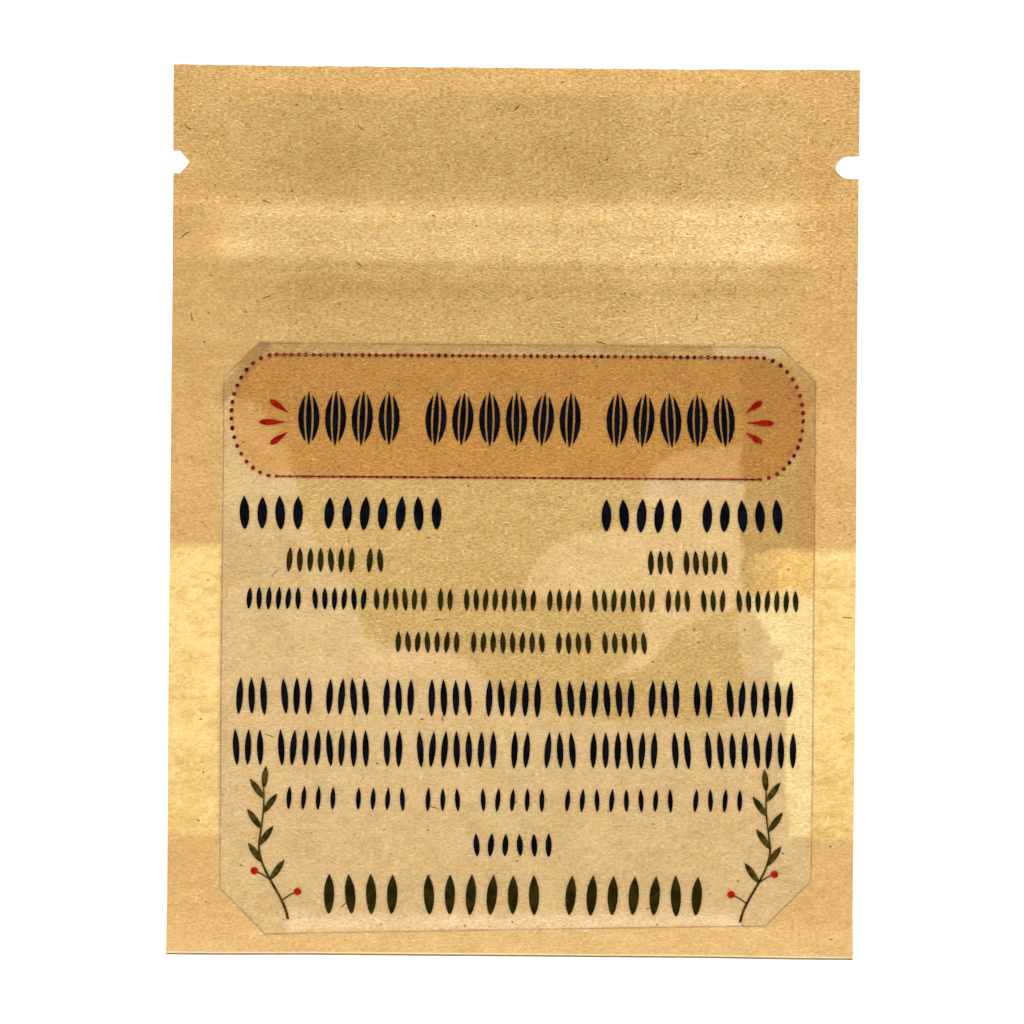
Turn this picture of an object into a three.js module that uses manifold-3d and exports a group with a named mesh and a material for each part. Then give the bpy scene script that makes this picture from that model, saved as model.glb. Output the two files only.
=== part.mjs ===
// A small flat kraft paper pouch of ground spice, lying on its back with its clear label up.
// Millimetres. X runs across the pouch, Y towards its zip and tear notches, Z up from what it lies on.
// The origin is on that surface, under the middle of the pouch.
import * as THREE from "three";
import { mergeVertices } from "three/addons/utils/BufferGeometryUtils.js";
import Module from "manifold-3d";

// Driving dimensions of the pouch.
const WIDTH = 70;
const HEIGHT = 90.6;
const PLY = 0.15; // one wall of paper with its inner film
const SIDE_SEAL = 5.8;
const BOTTOM_SEAL = 5.6;
const TOP_SEAL = 4.2;

// The powder fills the pocket to a low cushion.
const FILL_DEPTH = 3.2;
const FILL_PEAK_Y = -16;
const FILL_AT_ZIP = 0.16; // share of the depth left just below the zip
const FILL_END = 2.4; // over this length it then runs out
const FILL_ROUNDNESS = 2.2;

// The press-to-close zip shows as a raised band with a bead along its middle.
const ZIP_BOTTOM_Y = 25.4;
const ZIP_TOP_Y = 31.4;
const ZIP_BAND = 0.55;
const ZIP_BEAD = 0.6;
const ZIP_BEAD_WIDTH = 2.6;
const ZIP_RAMP = 0.8;
const ZIP_CRUSHED = 0.25; // share of the relief left where the side seals press it flat
const ZIP_CRUSH_RAMP = 1; // to each side of the seal's inner edge

// Above the zip the two plies part a little, up to the top seal.
const FLAP_GAP = 0.35;
const FLAP_RAMP = 3;

// The seams stand off the surface, because the cushion holds them up.
const SEAM_LIFT = 1.1;
const SEAM_LIFT_AT_FLAP = 0.35; // share of that lift left at the zip and above
const SEAM_LIFT_SPREAD = 22;
const SEAM_LIFT_X = 30.7; // the side seams are at their full lift from here out
const FOOT_HALF_WIDTH = 19; // the pouch lies flat on its back inside these limits
const FOOT_BOTTOM_Y = -HEIGHT / 2 + BOTTOM_SEAL;
const FOOT_TOP_Y = ZIP_TOP_Y;
const BOTTOM_EDGE_LIFT = 0.7;
const TOP_EDGE_LIFT = 0.7;
const EDGE_WAVE = 0.07;
const EDGE_WAVE_LENGTH = 27;

// Tear notches, one in each side.
const NOTCH_Y = 35.4;
const NOTCH_HALF_HEIGHT = 1.28;
const NOTCH_DEPTH_LEFT = 1.7;
const NOTCH_DEPTH_RIGHT = 2.3;
const NOTCH_TAPER = 1.1; // length of the pointed part

// The clear strip in the back, which runs from edge to edge.
const WINDOW_TOP_Y = -3.7;
const WINDOW_BOTTOM_Y = -33.1;
const WINDOW_FILM = 0.1;
const WINDOW_INSET = 0.03;
const WINDOW_END_GAP = 0.05;

// The clear label on the front, with its corners cut off.
const LABEL_FILM = 0.1;
const LABEL_CLEARANCE = 0.02;
const LABEL_LEFT = -29.7;
const LABEL_RIGHT = 30.8;
const LABEL_TOP = 17.05;
const LABEL_BOTTOM_LEFT = -43.4;
const LABEL_BOTTOM_RIGHT = -42.2;
const LABEL_CORNER_TOP = 3.6;
const LABEL_CORNER_BOTTOM = 4.7;

// How far a cutter reaches past what it cuts.
const CUTTER_REACH = 10;

// How finely each stretch of the pouch is divided.
const COLUMN_STRETCHES = [
  [-WIDTH / 2, 2],
  [-WIDTH / 2 + SIDE_SEAL, 5],
  [-FOOT_HALF_WIDTH, 14],
  [FOOT_HALF_WIDTH, 5],
  [WIDTH / 2 - SIDE_SEAL, 2],
  [WIDTH / 2, 0],
];
const ROW_STRETCHES = [
  [-HEIGHT / 2, 2],
  [-HEIGHT / 2 + BOTTOM_SEAL, 4],
  [WINDOW_BOTTOM_Y, 10],
  [WINDOW_TOP_Y, 10],
  [ZIP_BOTTOM_Y, 8],
  [ZIP_TOP_Y, 4],
  [HEIGHT / 2 - TOP_SEAL, 2],
  [HEIGHT / 2, 0],
];

const PAPER = { color: 0xd4ab6c, roughness: 0.85, metalness: 0 };
const CLEAR_FILM = { color: 0xd9cba8, roughness: 0.25, metalness: 0, transparent: true, opacity: 0.35 };

const wasm = await Module();
wasm.setup();

// 0 up to a, 1 from b on, and an even curve between them. It falls where b is less than a.
function ease(a, b, value) {
  const t = Math.min(1, Math.max(0, (value - a) / (b - a)));
  return t * t * (3 - 2 * t);
}

// 1 in the middle of the pocket and 0 at the side seals.
function fillAcross(x) {
  const share = Math.min(1, Math.abs(x) / (WIDTH / 2 - SIDE_SEAL));
  return 1 - share ** FILL_ROUNDNESS;
}

// 1 where the powder lies deepest, 0 at the bottom seal, and a little left at the zip.
function fillAlong(y) {
  const start = -HEIGHT / 2 + BOTTOM_SEAL;
  if (y < start || y > ZIP_BOTTOM_Y) return 0;
  if (y < FILL_PEAK_Y) return 1 - ((FILL_PEAK_Y - y) / (FILL_PEAK_Y - start)) ** FILL_ROUNDNESS;
  const left = FILL_AT_ZIP + (1 - FILL_AT_ZIP) * ease(ZIP_BOTTOM_Y, FILL_PEAK_Y, y);
  return left * ease(ZIP_BOTTOM_Y, ZIP_BOTTOM_Y - FILL_END, y);
}

// How much the zip adds to the pouch's thickness.
function zipRelief(x, y) {
  const middle = (ZIP_BOTTOM_Y + ZIP_TOP_Y) / 2;
  const band =
    ease(ZIP_BOTTOM_Y - ZIP_RAMP, ZIP_BOTTOM_Y, y) * ease(ZIP_TOP_Y + ZIP_RAMP, ZIP_TOP_Y, y);
  const bead = ease(middle - ZIP_BEAD_WIDTH / 2, middle, y) * ease(middle + ZIP_BEAD_WIDTH / 2, middle, y);
  const sealEdge = WIDTH / 2 - SIDE_SEAL;
  const pressed = ease(sealEdge - ZIP_CRUSH_RAMP, sealEdge + ZIP_CRUSH_RAMP, Math.abs(x));
  return (ZIP_BAND * band + ZIP_BEAD * bead) * (1 - (1 - ZIP_CRUSHED) * pressed);
}

// How far the two plies part above the zip.
function flapGap(x, y) {
  const sealEdge = HEIGHT / 2 - TOP_SEAL;
  const along = ease(ZIP_TOP_Y, ZIP_TOP_Y + FLAP_RAMP, y) * ease(sealEdge, sealEdge - FLAP_RAMP, y);
  return FLAP_GAP * along * fillAcross(x);
}

// Height of the pouch's underside above the surface that it lies on.
function underside(x, y) {
  const side = ease(FOOT_HALF_WIDTH, SEAM_LIFT_X, Math.abs(x));
  const swell = Math.exp(-(((y - FILL_PEAK_Y) / SEAM_LIFT_SPREAD) ** 2));
  const lift = SEAM_LIFT * (SEAM_LIFT_AT_FLAP + (1 - SEAM_LIFT_AT_FLAP) * swell);
  const wave = EDGE_WAVE * (1 + Math.sin((2 * Math.PI * y) / EDGE_WAVE_LENGTH + Math.sign(x)));
  const bottom = BOTTOM_EDGE_LIFT * ease(FOOT_BOTTOM_Y, -HEIGHT / 2, y);
  const top = TOP_EDGE_LIFT * ease(FOOT_TOP_Y, HEIGHT / 2, y);
  return side * (lift + wave) + bottom + top;
}

function topSide(x, y) {
  const fill = FILL_DEPTH * fillAcross(x) * fillAlong(y);
  return underside(x, y) + 2 * PLY + fill + zipRelief(x, y) + flapGap(x, y);
}

// The grid lines of the stretches, from first to last.
function gridLines(stretches) {
  const lines = [];
  stretches.forEach(([start, count], i) => {
    for (let k = 0; k < count; k++) lines.push(start + ((stretches[i + 1][0] - start) * k) / count);
  });
  lines.push(stretches[stretches.length - 1][0]);
  return lines;
}

function solidFrom(geometry) {
  const bare = geometry.clone();
  bare.deleteAttribute("normal");
  bare.deleteAttribute("uv");
  const merged = mergeVertices(bare, 1e-4);
  return new wasm.Manifold(
    new wasm.Mesh({
      numProp: 3,
      vertProperties: new Float32Array(merged.attributes.position.array),
      triVerts: new Uint32Array(merged.index.array),
    }),
  );
}

function geometryFrom(solid) {
  const mesh = solid.getMesh();
  const geometry = new THREE.BufferGeometry();
  geometry.setAttribute("position", new THREE.BufferAttribute(mesh.vertProperties, 3));
  geometry.setIndex(new THREE.BufferAttribute(mesh.triVerts, 1));
  return geometry;
}

// A sheet or a cushion divided on the grid, between two surfaces of heights given by lower and upper.
function layer(lower, upper, columns = gridLines(COLUMN_STRETCHES), rows = gridLines(ROW_STRETCHES)) {
  const across = columns.length - 1;
  const along = rows.length - 1;
  const box = new THREE.BoxGeometry(across, along, 1, across, along, 1);
  const position = box.attributes.position;
  for (let i = 0; i < position.count; i++) {
    const x = columns[Math.round(position.getX(i) + across / 2)];
    const y = rows[Math.round(position.getY(i) + along / 2)];
    position.setXYZ(i, x, y, position.getZ(i) > 0 ? upper(x, y) : lower(x, y));
  }
  return solidFrom(box);
}

// A tall prism of an outline, to cut with.
function prism(points) {
  const shape = new THREE.Shape(points.map(([x, y]) => new THREE.Vector2(x, y)));
  const geometry = new THREE.ExtrudeGeometry(shape, { depth: 2 * CUTTER_REACH, bevelEnabled: false });
  return solidFrom(geometry.translate(0, 0, -CUTTER_REACH));
}

function notchPrism(side, depth) {
  const outside = side * (WIDTH / 2 + CUTTER_REACH);
  const shoulder = side * (WIDTH / 2 - depth + NOTCH_TAPER);
  const tip = side * (WIDTH / 2 - depth);
  return prism([
    [outside, NOTCH_Y - NOTCH_HALF_HEIGHT],
    [shoulder, NOTCH_Y - NOTCH_HALF_HEIGHT],
    [tip, NOTCH_Y],
    [shoulder, NOTCH_Y + NOTCH_HALF_HEIGHT],
    [outside, NOTCH_Y + NOTCH_HALF_HEIGHT],
  ]);
}

function labelPrism() {
  return prism([
    [LABEL_LEFT + LABEL_CORNER_TOP, LABEL_TOP],
    [LABEL_LEFT, LABEL_TOP - LABEL_CORNER_TOP],
    [LABEL_LEFT, LABEL_BOTTOM_LEFT + LABEL_CORNER_BOTTOM],
    [LABEL_LEFT + LABEL_CORNER_BOTTOM, LABEL_BOTTOM_LEFT],
    [LABEL_RIGHT - LABEL_CORNER_BOTTOM, LABEL_BOTTOM_RIGHT],
    [LABEL_RIGHT, LABEL_BOTTOM_RIGHT + LABEL_CORNER_BOTTOM],
    [LABEL_RIGHT, LABEL_TOP - LABEL_CORNER_TOP],
    [LABEL_RIGHT - LABEL_CORNER_TOP, LABEL_TOP],
  ]);
}

// The grid's own rows across the clear strip, with the first and last moved inwards by an inset.
function windowRows(inset) {
  const rows = gridLines(ROW_STRETCHES).filter((y) => y >= WINDOW_BOTTOM_Y && y <= WINDOW_TOP_Y);
  rows[0] += inset;
  rows[rows.length - 1] -= inset;
  return rows;
}

// What the clear strip takes out of the back wall. It reaches past the pouch at both sides.
function windowCut() {
  const columns = gridLines(COLUMN_STRETCHES);
  columns.unshift(-WIDTH / 2 - CUTTER_REACH);
  columns.push(WIDTH / 2 + CUTTER_REACH);
  const below = () => -CUTTER_REACH;
  const innerFace = (x, y) => underside(x, y) + PLY;
  return layer(below, innerFace, columns, windowRows(0));
}

// The paper, without its back wall in the clear strip and without the tear notches.
function makePouch() {
  return layer(underside, topSide)
    .subtract(windowCut())
    .subtract(notchPrism(-1, NOTCH_DEPTH_LEFT))
    .subtract(notchPrism(1, NOTCH_DEPTH_RIGHT));
}

// The clear strip follows the underside of the pouch, just inside the paper's outer face.
function makeWindow() {
  const outerFace = (x, y) => underside(x, y) + WINDOW_INSET;
  const innerFace = (x, y) => outerFace(x, y) + WINDOW_FILM;
  return layer(outerFace, innerFace, gridLines(COLUMN_STRETCHES), windowRows(WINDOW_END_GAP));
}

// The label follows the top side of the pouch.
function makeLabel() {
  const floor = () => -CUTTER_REACH;
  const backFace = (x, y) => topSide(x, y) + LABEL_CLEARANCE;
  const printedFace = (x, y) => backFace(x, y) + LABEL_FILM;
  return layer(underside, printedFace).subtract(layer(floor, backFace)).intersect(labelPrism());
}

function meshOf(name, solid, finish) {
  const mesh = new THREE.Mesh(geometryFrom(solid), new THREE.MeshStandardMaterial(finish));
  mesh.name = name;
  return mesh;
}

const spicePouch = new THREE.Group();
spicePouch.add(meshOf("pouch", makePouch(), PAPER));
spicePouch.add(meshOf("window", makeWindow(), CLEAR_FILM));
spicePouch.add(meshOf("label", makeLabel(), CLEAR_FILM));

export default spicePouch;
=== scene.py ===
"""A small flat kraft paper pouch of ground anise, lying label up on a pale floor.

Metres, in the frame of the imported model: X across the pouch, Y towards its zip, Z up.
"""

import math
import random

import bmesh
import bpy
from bpy.props import FloatProperty, FloatVectorProperty, IntProperty, PointerProperty
from mathutils import Matrix, Vector, noise


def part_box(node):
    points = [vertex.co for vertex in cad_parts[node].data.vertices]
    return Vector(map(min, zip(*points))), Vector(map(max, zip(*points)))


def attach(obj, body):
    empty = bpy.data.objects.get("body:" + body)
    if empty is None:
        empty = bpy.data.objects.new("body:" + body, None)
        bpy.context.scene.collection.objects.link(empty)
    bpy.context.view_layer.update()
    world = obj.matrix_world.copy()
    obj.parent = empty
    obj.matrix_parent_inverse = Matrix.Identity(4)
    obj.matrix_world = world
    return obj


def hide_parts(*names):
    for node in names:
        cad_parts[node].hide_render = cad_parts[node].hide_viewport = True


bl_info = {
    "name": "Kraft Spice Pouch",
    "version": (1, 0, 0),
    "blender": (4, 5, 0),
    "location": "3D View > Sidebar > Pouch",
    "description": "Builds a flat kraft paper pouch of ground spice with a clear printed label",
    "category": "Add Mesh",
}

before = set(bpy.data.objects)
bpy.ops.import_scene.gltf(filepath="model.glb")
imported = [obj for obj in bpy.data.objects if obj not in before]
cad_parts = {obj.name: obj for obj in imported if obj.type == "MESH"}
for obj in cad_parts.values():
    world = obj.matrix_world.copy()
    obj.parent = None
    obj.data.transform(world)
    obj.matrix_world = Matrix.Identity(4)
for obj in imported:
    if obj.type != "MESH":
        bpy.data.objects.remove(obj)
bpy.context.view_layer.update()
POUCH_LOW, POUCH_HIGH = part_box("pouch")
LABEL_LOW, LABEL_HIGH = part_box("label")
WINDOW_LOW, WINDOW_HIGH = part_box("window")

MM = 0.001
HALF_WIDTH = (POUCH_HIGH.x - POUCH_LOW.x) / 2
HALF_HEIGHT = (POUCH_HIGH.y - POUCH_LOW.y) / 2
BODY = "root"

# The pouch's form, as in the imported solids.
PLY = 0.15 * MM
SIDE_SEAL_X = HALF_WIDTH - 5.8 * MM
BOTTOM_SEAL_Y = -HALF_HEIGHT + 5.6 * MM
TOP_SEAL_Y = HALF_HEIGHT - 4.2 * MM
FILL_PEAK_Y = -16 * MM
FILL_AT_ZIP = 0.16
FILL_END = 2.4 * MM
FILL_ROUNDNESS = 2.2
ZIP_BOTTOM_Y = 25.4 * MM
ZIP_TOP_Y = 31.4 * MM
ZIP_BAND = 0.55 * MM
ZIP_BEAD = 0.6 * MM
ZIP_BEAD_WIDTH = 2.6 * MM
ZIP_RAMP = 0.8 * MM
ZIP_CRUSHED = 0.25
ZIP_CRUSH_RAMP = 1 * MM
FLAP_GAP = 0.35 * MM
FLAP_RAMP = 3 * MM
SEAM_LIFT = 1.1 * MM
SEAM_LIFT_AT_FLAP = 0.35
SEAM_LIFT_SPREAD = 22 * MM
SEAM_LIFT_X = 30.7 * MM
FOOT_HALF_WIDTH = 19 * MM
EDGE_LIFT = 0.7 * MM
EDGE_WAVE = 0.07 * MM
EDGE_WAVE_LENGTH = 27 * MM
NOTCH_Y = 35.4 * MM
LABEL_BOTTOM_RIGHT = -42.2 * MM
LABEL_CORNER_TOP = 3.6 * MM
LABEL_CORNER_BOTTOM = 4.7 * MM

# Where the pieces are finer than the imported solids.
FILL_SOFT = 0.12 * MM
FOOT_Y = -HALF_HEIGHT - 0.17 * MM
NOTCH_HALF_HEIGHT = 1.15 * MM

# Each ply is this much thinner than its share, so that two faces never lie in one plane.
PLY_CLEAR = 0.01 * MM

# The clear strip: how far its two faces are above the underside, and the gap along its two long edges.
STRIP_BACK = 0.03 * MM
STRIP_FACE = 0.12 * MM
STRIP_GAP = 0.05 * MM

# Layers on the front, above the paper.
FILM_FACE = 0.09 * MM
INK_BACK = 0.1 * MM
INK_FACE = 0.13 * MM

# The print is turned a little on the pouch.
PRINT_TURN = math.radians(0.08)


def ease(start, end, value):
    """0 up to start, 1 from end on, and an even curve between them."""
    t = min(1.0, max(0.0, (value - start) / (end - start)))
    return t * t * (3 - 2 * t)


def bell(middle, reach, value):
    """1 at the middle, and 0 from reach on to each side."""
    return ease(middle - reach, middle, value) * ease(middle + reach, middle, value)


class Form:
    """Heights of the pouch's surfaces above the floor."""

    def __init__(self, sizes):
        self.fill_depth = sizes.fill_depth
        self.buckle_height = sizes.buckle

    @staticmethod
    def fill_across(x):
        return 1 - min(1.0, abs(x) / SIDE_SEAL_X) ** FILL_ROUNDNESS

    @staticmethod
    def fill_along(y):
        if y < BOTTOM_SEAL_Y or y > ZIP_BOTTOM_Y:
            return 0.0
        if y < FILL_PEAK_Y:
            return 1 - ((FILL_PEAK_Y - y) / (FILL_PEAK_Y - BOTTOM_SEAL_Y)) ** FILL_ROUNDNESS
        left = FILL_AT_ZIP + (1 - FILL_AT_ZIP) * ease(ZIP_BOTTOM_Y, FILL_PEAK_Y, y)
        return left * ease(ZIP_BOTTOM_Y, ZIP_BOTTOM_Y - FILL_END, y)

    @staticmethod
    def zip_relief(x, y):
        middle = (ZIP_BOTTOM_Y + ZIP_TOP_Y) / 2
        band = ease(ZIP_BOTTOM_Y - ZIP_RAMP, ZIP_BOTTOM_Y, y)
        band *= ease(ZIP_TOP_Y + ZIP_RAMP, ZIP_TOP_Y, y)
        bead = bell(middle, ZIP_BEAD_WIDTH / 2, y)
        pressed = ease(SIDE_SEAL_X - ZIP_CRUSH_RAMP, SIDE_SEAL_X + ZIP_CRUSH_RAMP, abs(x))
        return (ZIP_BAND * band + ZIP_BEAD * bead) * (1 - (1 - ZIP_CRUSHED) * pressed)

    def flap_gap(self, x, y):
        along = ease(ZIP_TOP_Y, ZIP_TOP_Y + FLAP_RAMP, y)
        along *= ease(TOP_SEAL_Y, TOP_SEAL_Y - FLAP_RAMP, y)
        return FLAP_GAP * along * self.fill_across(x)

    @staticmethod
    def underside(x, y):
        side = ease(FOOT_HALF_WIDTH, SEAM_LIFT_X, abs(x))
        swell = math.exp(-(((y - FILL_PEAK_Y) / SEAM_LIFT_SPREAD) ** 2))
        lift = SEAM_LIFT * (SEAM_LIFT_AT_FLAP + (1 - SEAM_LIFT_AT_FLAP) * swell)
        wave = EDGE_WAVE * (1 + math.sin(2 * math.pi * y / EDGE_WAVE_LENGTH + math.copysign(1, x)))
        bottom = EDGE_LIFT * ease(BOTTOM_SEAL_Y, -HALF_HEIGHT, y)
        top = EDGE_LIFT * ease(ZIP_TOP_Y, HALF_HEIGHT, y)
        return side * (lift + wave) + bottom + top

    def buckle(self, x, y):
        """Small uneven waves of the front."""
        long_wave = noise.noise(Vector((x / (17 * MM), y / (9 * MM), 3.1)))
        short_wave = noise.noise(Vector((x / (6 * MM), y / (3.6 * MM), 8.7)))
        return self.buckle_height * (long_wave + 0.3 * short_wave)

    def front(self, x, y):
        """The outer face of the front ply."""
        fill = self.fill_depth * self.fill_across(x) * self.fill_along(y)
        layers = self.underside(x, y) + 2 * PLY + math.hypot(fill, FILL_SOFT) - FILL_SOFT
        return layers + self.zip_relief(x, y) + self.flap_gap(x, y) + self.buckle(x, y)

    def above_front(self, offset):
        return lambda x, y: self.front(x, y) + offset

    def above_floor(self, offset):
        return lambda x, y: self.underside(x, y) + offset


# ---------------------------------------------------------------- properties


def number(name, description, default, unit="NONE"):
    return FloatProperty(name=name, description=description, default=default, unit=unit, precision=5)


def size(name, description, default):
    return number(name, description, default, "LENGTH")


def paint(name, description, red, green, blue):
    """A colour as a screen shows it, from 0 to 255."""
    return FloatVectorProperty(
        name=name,
        description=description,
        default=(red / 255, green / 255, blue / 255),
        subtype="COLOR_GAMMA",
        min=0,
        max=1,
    )


class PouchSizes(bpy.types.PropertyGroup):
    """Sizes of the pouch and its print."""

    fill_depth: size("Fill depth", "Depth of the powder where it is deepest", 3.2 * MM)
    paper_cell: size("Paper cell", "Width of one face of the paper", 0.45 * MM)
    print_cell: size("Print cell", "Longest stretch of print between two bends", 0.6 * MM)
    buckle: size("Buckle", "Height of the small waves in the front", 0.06 * MM)
    ragged: size("Ragged edge", "How uneven the top edge is cut", 0.09 * MM)
    back_proud: size("Back ply proud", "How far the back shows past the front at the bottom", 0.19 * MM)
    # The pale line is a painted highlight where light catches the front's cut edge.
    cut_edge_highlight: size("Cut edge", "Width of the pale line along the front's bottom edge", 0.16 * MM)
    rim: size("Label rim", "Width of the line that shows along the label's edge", 0.14 * MM)
    dot_pitch: size("Dot pitch", "Distance between two dots at the title's ends", 0.86 * MM)
    grains: IntProperty(name="Loose grains", description="Grains that lie by themselves", default=1400)


class PouchPaints(bpy.types.PropertyGroup):
    """Colours of the paper, the print and the powder."""

    body: paint("Body", "Paper over the pocket", 213, 172, 107)
    seal: paint("Seal", "Paper where the plies are sealed", 227, 181, 112)
    # Glow is painted light: the paper is lighter where the clear strip behind it lets light through.
    foot: paint("Foot", "Paper along the bottom seal", 231, 188, 123)
    glow: paint("Glow", "Paper with the clear strip behind it", 245, 205, 126)
    milky: paint("Milky", "Paper under the label, with air between them", 226, 190, 129)
    inner_film: paint("Inner film", "Sealing film inside the paper", 246, 226, 182)
    dark_ink: paint("Dark ink", "Near-black print", 4, 5, 9)
    green_ink: paint("Green ink", "Dark olive print", 36, 29, 2)
    red_ink: paint("Red ink", "Rays and berries", 140, 6, 3)
    border_ink: paint("Border ink", "Dots of the title's border", 78, 10, 14)
    powder: paint("Powder", "Ground seed", 150, 118, 70)


class PouchStage(bpy.types.PropertyGroup):
    """Camera, light and floor."""

    brightness: number("Brightness", "Light on the floor, where 1 makes white", 1.4)
    sky: number("Sky", "Strength of the even light from all sides", 1.07)
    floor_glow: number("Floor glow", "Light that the floor gives off itself", 0.35)
    key: number("Key", "Power of the lamp beyond the pouch's top", 3.2, "POWER")
    fill: number("Fill", "Power of the lamp to the left", 2.0, "POWER")
    view_width: size("View width", "Width of the floor that the picture shows", 104.6 * MM)
    lens: number("Lens", "Focal length of the camera", 120, "CAMERA")
    roll: number("Roll", "Turn of the camera", math.radians(0.479), "ROTATION")


# ---------------------------------------------------------------- colours


def linear(colour):
    """A screen colour as the light that it stands for."""
    return tuple(c / 12.92 if c <= 0.04045 else ((c + 0.055) / 1.055) ** 2.4 for c in colour)


def albedo(colour):
    """The colour that a surface needs to look like this screen colour on the lit floor, with its alpha."""
    brightness = bpy.context.scene.pouch_stage.brightness
    return (*(c / brightness for c in linear(colour)), 1)


def blend(first, second, share):
    return tuple(a + (b - a) * share for a, b in zip(first, second))


# Brown paper that is lighter is also less saturated: blue follows the level most, and red least.
LEVEL_POWERS = (1.0, 1.27, 1.85)


def levelled(colour, level):
    return tuple(c * level**power for c, power in zip(colour, LEVEL_POWERS))


def screen(red, green, blue):
    return (red / 255, green / 255, blue / 255)


# ---------------------------------------------------------------- materials

# The paper's fibres, in millimetres: the cell that one lies in, half its length and half its width.
# Then where its pattern starts, how often a cell has one, how far it bends, and how few stand upright.
FIBRES = {
    "dark": (0.7, 0.24, 0.055, 13.0, 0.55, 3.0, 0.6),
    "light": (0.85, 0.52, 0.05, 3.0, 0.85, 2.6, 1.3),
    "hair": (2.3, 1.0, 0.055, 31.0, 0.8, 3.4, 0.8),
    "splinter": (8.5, 0.7, 0.1, 3.0, 0.5, 2.0, 0.4),
    "speck": (4.6, 0.2, 0.12, 9.0, 0.7, 1.0, 0.4),
}

# How much lighter or darker these kinds make the paper.
FIBRE_STRENGTHS = {"dark": -0.48, "light": 0.44, "hair": 0.4}

# A fibre's largest turn from level, in radians.
FIBRE_TURN = 1.55


class Nodes:
    """Short calls for building one material's nodes."""

    def __init__(self, name):
        self.material = bpy.data.materials.new(name)
        self.material.use_nodes = True
        self.tree = self.material.node_tree
        self.shader = self.tree.nodes["Principled BSDF"]
        self.out = self.tree.nodes["Material Output"]
        self.where = self.add("ShaderNodeTexCoord").outputs["Object"]

    def add(self, kind, inputs=None, **settings):
        node = self.tree.nodes.new(kind)
        for key, value in settings.items():
            setattr(node, key, value)
        for key, value in (inputs or {}).items():
            self.feed(node.inputs[key], value)
        return node

    def feed(self, socket, value):
        if isinstance(value, bpy.types.NodeSocket):
            self.tree.links.new(value, socket)
        else:
            socket.default_value = value

    def maths(self, operation, first, second=0.0, third=0.0):
        node = self.add("ShaderNodeMath", {0: first, 1: second, 2: third}, operation=operation)
        return node.outputs[0]

    def ramp(self, value, low, high, to_low=0.0, to_high=1.0):
        inputs = {"Value": value, "From Min": low, "From Max": high, "To Min": to_low, "To Max": to_high}
        return self.add("ShaderNodeMapRange", inputs, interpolation_type="SMOOTHSTEP").outputs[0]

    def place(self, size_x, size_y, turn=0.0, shift=0.0):
        """Coordinates that count in cells of size_x by size_y millimetres, turned about Z."""
        turned = self.add("ShaderNodeMapping", {"Vector": self.where, "Rotation": (0, 0, turn)})
        scale = (1 / (size_x * MM), 1 / (size_y * MM), 1 / (size_x * MM))
        inputs = {"Vector": turned.outputs[0], "Scale": scale, "Location": (shift, shift * 0.7, 0)}
        return self.add("ShaderNodeMapping", inputs).outputs[0]

    def noise(self, size_x, size_y, detail=2.0, turn=0.0, shift=0.0, distortion=0.0):
        inputs = {
            "Vector": self.place(size_x, size_y, turn, shift),
            "Scale": 1.0,
            "Detail": detail,
            "Distortion": distortion,
        }
        return self.add("ShaderNodeTexNoise", inputs, noise_dimensions="2D").outputs[0]

    def mix(self, share, first, second, how="MIX"):
        inputs = {"Factor": share, 6: first, 7: second}
        return self.add("ShaderNodeMix", inputs, data_type="RGBA", blend_type=how).outputs[2]

    def multiply(self, first, second):
        return self.mix(1.0, first, second, "MULTIPLY")

    def sway(self, value, gain, level):
        """The level, moved up and down by how far the value is from 0.5."""
        return self.maths("MULTIPLY_ADD", self.maths("SUBTRACT", value, 0.5), gain, level)

    def strands(self, kind):
        """Short bent fibres, each turned its own way, one at most in a cell and most of them level."""
        cell, half_length, half_width, shift, share, bend, upright = FIBRES[kind]
        where = self.place(cell, cell * 0.8, shift=shift)
        inputs = {"Vector": where, "Scale": 1.0}
        cells = self.add("ShaderNodeTexVoronoi", inputs, voronoi_dimensions="2D")
        inputs = {0: where, 1: cells.outputs["Position"]}
        away = self.add("ShaderNodeVectorMath", inputs, operation="SUBTRACT")
        chance = self.add("ShaderNodeSeparateColor", {0: cells.outputs["Color"]}).outputs
        side = self.maths("MULTIPLY_ADD", chance[1], 2.0, -1.0)
        far = self.maths("POWER", self.maths("ABSOLUTE", side), upright)
        angle = self.maths("MULTIPLY", self.maths("MULTIPLY", side, far), FIBRE_TURN)
        inputs = {"Vector": away.outputs[0], "Axis": (0, 0, 1), "Angle": angle}
        turned = self.add("ShaderNodeVectorRotate", inputs, rotation_type="AXIS_ANGLE")
        parts = self.add("ShaderNodeSeparateXYZ", {0: turned.outputs[0]}).outputs
        along = self.maths("MULTIPLY", parts[0], cell / half_length)
        along_squared = self.maths("MULTIPLY", along, along)
        bow = self.maths("MULTIPLY_ADD", chance[2], bend, -bend / 2)
        straight = self.maths("MULTIPLY", parts[1], cell / half_width)
        across = self.maths("MULTIPLY_ADD", along_squared, bow, straight)
        mark = self.ramp(self.maths("MULTIPLY_ADD", across, across, along_squared), 1.0, 0.3)
        return self.maths("MULTIPLY", mark, self.ramp(chance[0], share, 0.0))

    def bump(self, height, strength, distance):
        inputs = {"Height": height, "Strength": strength, "Distance": distance}
        self.feed(self.shader.inputs["Normal"], self.add("ShaderNodeBump", inputs).outputs[0])

    def blotches(self, size_x, size_y, shift, low, high, first, second):
        """Two colours in soft blotches of a size in millimetres. Returns the pattern that mixes them."""
        pattern = self.noise(size_x, size_y, shift=shift)
        colours = [albedo(colour) for colour in (first, second)]
        self.feed(self.shader.inputs["Base Color"], self.mix(self.ramp(pattern, low, high), *colours))
        return pattern

    def surface(self, roughness, shine=0.5):
        """How rough the surface is, and how strongly it shines. Returns the finished material."""
        self.feed(self.shader.inputs["Roughness"], roughness)
        self.feed(self.shader.inputs["Specular IOR Level"], shine)
        return self.material


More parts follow.
